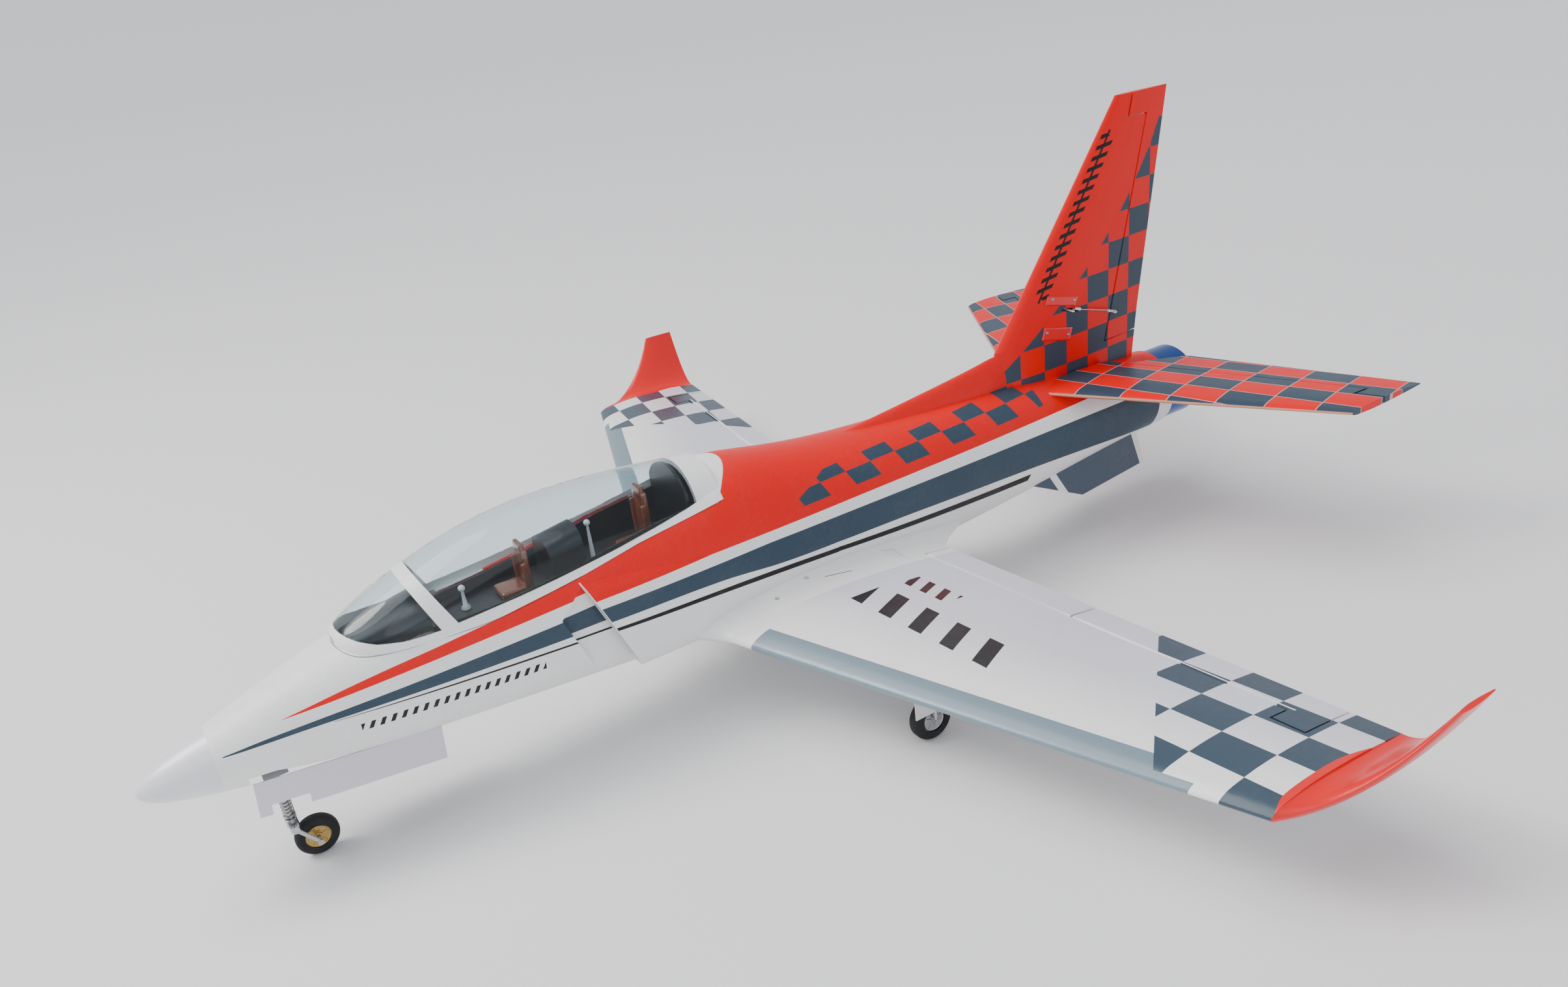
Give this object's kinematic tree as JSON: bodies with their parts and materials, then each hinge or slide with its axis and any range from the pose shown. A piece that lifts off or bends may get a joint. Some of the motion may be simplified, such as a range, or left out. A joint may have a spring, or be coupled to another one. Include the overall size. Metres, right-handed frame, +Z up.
{
  "type": "rc jet plane",
  "caption": "Foam electric ducted-fan jet model with two-seat clear canopy, hinged wing and tail surfaces, servo linkages and folding wheels.",
  "frame": {"origin": "on the ground, half-way along and across the model", "axes": "+X towards the port wing tip, +Y towards the tail, +Z up"},
  "size_m": [1.4506, 1.45, 0.573],
  "materials": {
    "white_foam": "fine bead foam, painted white",
    "red_foam": "fine bead foam, painted red with grey checks",
    "slate_foam": "painted slate with a white edge",
    "canopy_clear": "thin tinted clear plastic",
    "black_plastic": "vacuum-formed black plastic",
    "brown_plastic": "glossy brown plastic",
    "white_plastic": "moulded nylon",
    "fan_plastic": "glass-filled nylon",
    "motor_metal": "turned aluminium",
    "nozzle_blue": "metallic blue",
    "carbon": "wound carbon tube",
    "battery_wrap": "shrink wrap",
    "electronics": "shrink wrap and moulded cases",
    "retract_metal": "anodised aluminium",
    "screw_steel": "plated steel",
    "wire_steel": "spring steel wire",
    "strut_metal": "turned aluminium",
    "hub_brass": "brass-coloured hub",
    "hub_metal": "turned aluminium",
    "tyre_rubber": "solid foam rubber",
    "door_white": "painted plastic panel"
  },
  "bodies": {
    "airframe": {"nose_cone": "white_foam", "fuselage_front": "white_foam", "fuselage_rear": "white_foam", "inlet_duct": "black_plastic", "fan_housing": "black_plastic", "fan_motor": "motor_metal", "exhaust_nozzle": "nozzle_blue", "wing_left": "white_foam", "wing_right": "white_foam", "winglets": "red_foam", "wing_spar": "carbon", "fin": "red_foam", "stabilizer_left": "red_foam", "stabilizer_right": "red_foam", "ventral_fins": "slate_foam", "battery": "battery_wrap", "speed_controller": "electronics", "receiver": "electronics", "servos": "electronics", "retract_units": "retract_metal", "screws": "screw_steel"},
    "canopy": {"canopy_frame": "white_foam", "canopy_glass": "canopy_clear", "cockpit_tub": "black_plastic", "seats": "brown_plastic", "control_sticks": "white_plastic", "instrument_hoods": "black_plastic"},
    "fan": {"fan_rotor": "fan_plastic"},
    "aileron_left": {"aileron_left": "white_foam"},
    "aileron_right": {"aileron_right": "white_foam"},
    "flap_left": {"flap_left": "white_foam"},
    "flap_right": {"flap_right": "white_foam"},
    "elevator_left": {"elevator_left": "red_foam"},
    "elevator_right": {"elevator_right": "red_foam"},
    "rudder": {"rudder": "red_foam"},
    "nose_leg": {"nose_strut": "strut_metal"},
    "nose_steering": {"nose_fork": "strut_metal"},
    "nose_link": {"nose_link": "strut_metal"},
    "nose_wheel": {"nose_wheel_hub": "hub_brass", "nose_tyre": "tyre_rubber"},
    "nose_door_left": {"nose_door_left": "door_white"},
    "nose_door_right": {"nose_door_right": "door_white"},
    "main_leg_left": {"main_strut_left": "strut_metal", "main_door_left": "door_white"},
    "main_wheel_left": {"main_wheel_hub_left": "hub_metal", "main_tyre_left": "tyre_rubber"},
    "main_leg_right": {"main_strut_right": "strut_metal", "main_door_right": "door_white"},
    "main_wheel_right": {"main_wheel_hub_right": "hub_metal", "main_tyre_right": "tyre_rubber"},
    "rudder_servo_arm": {"rudder_servo_arm": "white_plastic"},
    "rudder_pushrod": {"rudder_pushrod": "wire_steel"},
    "elevator_left_servo_arm": {"elevator_left_servo_arm": "white_plastic"},
    "elevator_left_pushrod": {"elevator_left_pushrod": "wire_steel"},
    "elevator_right_servo_arm": {"elevator_right_servo_arm": "white_plastic"},
    "elevator_right_pushrod": {"elevator_right_pushrod": "wire_steel"},
    "aileron_left_servo_arm": {"aileron_left_servo_arm": "white_plastic"},
    "aileron_left_pushrod": {"aileron_left_pushrod": "wire_steel"},
    "aileron_right_servo_arm": {"aileron_right_servo_arm": "white_plastic"},
    "aileron_right_pushrod": {"aileron_right_pushrod": "wire_steel"}
  },
  "joints": [
    {"name": "canopy_lift", "type": "slide", "parent": "airframe", "child": "canopy", "axis": [0, 0, 1], "range_m": [0, 0.08]},
    {"name": "fan_spin", "type": "hinge", "parent": "airframe", "child": "fan", "pos_m": [0, 0.125, 0.16], "axis": [0, 1, 0], "continuous": true},
    {"name": "aileron_left_hinge", "type": "hinge", "parent": "airframe", "child": "aileron_left", "pos_m": [0.428, 0.16421, 0.11484], "axis": [0.9952, 0.0977, 0.0081], "range_deg": [-20, 20]},
    {"name": "aileron_right_hinge", "type": "hinge", "parent": "airframe", "child": "aileron_right", "pos_m": [-0.428, 0.16421, 0.11484], "axis": [0.9952, -0.0977, -0.0081], "range_deg": [-20, 20]},
    {"name": "flap_left_hinge", "type": "hinge", "parent": "airframe", "child": "flap_left", "pos_m": [0.1085, 0.13284, 0.11223], "axis": [0.9952, 0.0977, 0.0081], "range_deg": [-40, 0]},
    {"name": "flap_right_hinge", "type": "hinge", "parent": "airframe", "child": "flap_right", "pos_m": [-0.1085, 0.13284, 0.11223], "axis": [0.9952, -0.0977, -0.0081], "range_deg": [-40, 0]},
    {"name": "elevator_left_hinge", "type": "hinge", "parent": "airframe", "child": "elevator_left", "pos_m": [0.09872, 0.57058, 0.222], "axis": [0.9161, 0.401, 0], "range_deg": [-18, 18]},
    {"name": "elevator_right_hinge", "type": "hinge", "parent": "airframe", "child": "elevator_right", "pos_m": [-0.09872, 0.57058, 0.222], "axis": [0.9161, -0.401, 0], "range_deg": [-18, 18]},
    {"name": "rudder_hinge", "type": "hinge", "parent": "airframe", "child": "rudder", "pos_m": [0, 0.54669, 0.29387], "axis": [0, 0.2634, 0.9647], "range_deg": [-25, 25]},
    {"name": "rudder_servo_spin", "type": "hinge", "parent": "airframe", "child": "rudder_servo_arm", "pos_m": [0, 0.46951, 0.31495], "axis": [0, 0.2634, 0.9647], "range_deg": [-25, 25]},
    {"name": "rudder_pushrod_pivot", "type": "hinge", "parent": "rudder_servo_arm", "child": "rudder_pushrod", "pos_m": [0.015, 0.46951, 0.31495], "axis": [0, 0.2634, 0.9647], "range_deg": [-25, 25]},
    {"name": "elevator_left_servo_spin", "type": "hinge", "parent": "airframe", "child": "elevator_left_servo_arm", "pos_m": [0.12518, 0.51011, 0.222], "axis": [0.9161, 0.401, 0], "range_deg": [-18, 18]},
    {"name": "elevator_left_pushrod_pivot", "type": "hinge", "parent": "elevator_left_servo_arm", "child": "elevator_left_pushrod", "pos_m": [0.12518, 0.51011, 0.207], "axis": [0.9161, 0.401, 0], "range_deg": [-18, 18]},
    {"name": "elevator_right_servo_spin", "type": "hinge", "parent": "airframe", "child": "elevator_right_servo_arm", "pos_m": [-0.12518, 0.51011, 0.222], "axis": [0.9161, -0.401, 0], "range_deg": [-18, 18]},
    {"name": "elevator_right_pushrod_pivot", "type": "hinge", "parent": "elevator_right_servo_arm", "child": "elevator_right_pushrod", "pos_m": [-0.12518, 0.51011, 0.207], "axis": [0.9161, -0.401, 0], "range_deg": [-18, 18]},
    {"name": "aileron_left_servo_spin", "type": "hinge", "parent": "airframe", "child": "aileron_left_servo_arm", "pos_m": [0.43562, 0.08659, 0.11484], "axis": [0.9952, 0.0977, 0.0081], "range_deg": [-20, 20]},
    {"name": "aileron_left_pushrod_pivot", "type": "hinge", "parent": "aileron_left_servo_arm", "child": "aileron_left_pushrod", "pos_m": [0.43574, 0.0866, 0.09984], "axis": [0.9952, 0.0977, 0.0081], "range_deg": [-20, 20]},
    {"name": "aileron_right_servo_spin", "type": "hinge", "parent": "airframe", "child": "aileron_right_servo_arm", "pos_m": [-0.43562, 0.08659, 0.11484], "axis": [0.9952, -0.0977, -0.0081], "range_deg": [-20, 20]},
    {"name": "aileron_right_pushrod_pivot", "type": "hinge", "parent": "aileron_right_servo_arm", "child": "aileron_right_pushrod", "pos_m": [-0.43574, 0.0866, 0.09984], "axis": [0.9952, -0.0977, -0.0081], "range_deg": [-20, 20]},
    {"name": "nose_gear_retract", "type": "hinge", "parent": "airframe", "child": "nose_leg", "pos_m": [0, -0.607, 0.118], "axis": [1, 0, 0], "range_deg": [0, 90]},
    {"name": "nose_wheel_steering", "type": "hinge", "parent": "nose_leg", "child": "nose_steering", "pos_m": [0, -0.607, 0.049], "axis": [0, 0, 1], "range_deg": [-25, 25]},
    {"name": "nose_suspension", "type": "hinge", "parent": "nose_steering", "child": "nose_link", "pos_m": [0.016, -0.607, 0.048], "axis": [1, 0, 0], "range_deg": [0, 12], "stiffness_Nm_per_rad": 1, "springref_deg": -22.92},
    {"name": "nose_wheel_spin", "type": "hinge", "parent": "nose_link", "child": "nose_wheel", "pos_m": [0, -0.5885, 0.0225], "axis": [1, 0, 0], "continuous": true},
    {"name": "nose_door_left_hinge", "type": "hinge", "parent": "airframe", "child": "nose_door_left", "pos_m": [0.035, -0.629, 0.1285], "axis": [0, 0.9941, -0.1081], "range_deg": [0, 60]},
    {"name": "nose_door_right_hinge", "type": "hinge", "parent": "airframe", "child": "nose_door_right", "pos_m": [-0.035, -0.629, 0.1285], "axis": [0, 0.9941, -0.1081], "range_deg": [-60, 0]},
    {"name": "main_gear_retract_left", "type": "hinge", "parent": "airframe", "child": "main_leg_left", "pos_m": [0.2735, 0.009, 0.105], "axis": [0, 1, 0], "range_deg": [0, 90]},
    {"name": "main_wheel_spin_left", "type": "hinge", "parent": "main_leg_left", "child": "main_wheel_left", "pos_m": [0.263, 0.009, 0.025], "axis": [1, 0, 0], "continuous": true},
    {"name": "main_gear_retract_right", "type": "hinge", "parent": "airframe", "child": "main_leg_right", "pos_m": [-0.2735, 0.009, 0.105], "axis": [0, 1, 0], "range_deg": [-90, 0]},
    {"name": "main_wheel_spin_right", "type": "hinge", "parent": "main_leg_right", "child": "main_wheel_right", "pos_m": [-0.263, 0.009, 0.025], "axis": [1, 0, 0], "continuous": true}
  ],
  "couplings": [
    {"joint": "aileron_right_hinge", "follows": "aileron_left_hinge", "ratio": -1},
    {"joint": "flap_right_hinge", "follows": "flap_left_hinge", "ratio": 1},
    {"joint": "elevator_right_hinge", "follows": "elevator_left_hinge", "ratio": 1},
    {"joint": "rudder_servo_spin", "follows": "rudder_hinge", "ratio": 1},
    {"joint": "rudder_pushrod_pivot", "follows": "rudder_hinge", "ratio": -1},
    {"joint": "elevator_left_servo_spin", "follows": "elevator_left_hinge", "ratio": 1},
    {"joint": "elevator_left_pushrod_pivot", "follows": "elevator_left_hinge", "ratio": -1},
    {"joint": "elevator_right_servo_spin", "follows": "elevator_left_hinge", "ratio": 1},
    {"joint": "elevator_right_pushrod_pivot", "follows": "elevator_left_hinge", "ratio": -1},
    {"joint": "aileron_left_servo_spin", "follows": "aileron_left_hinge", "ratio": 1},
    {"joint": "aileron_left_pushrod_pivot", "follows": "aileron_left_hinge", "ratio": -1},
    {"joint": "aileron_right_servo_spin", "follows": "aileron_left_hinge", "ratio": -1},
    {"joint": "aileron_right_pushrod_pivot", "follows": "aileron_left_hinge", "ratio": 1},
    {"joint": "nose_door_right_hinge", "follows": "nose_door_left_hinge", "ratio": -1},
    {"joint": "main_gear_retract_left", "follows": "nose_gear_retract", "ratio": 1},
    {"joint": "main_gear_retract_right", "follows": "nose_gear_retract", "ratio": -1}
  ]
}
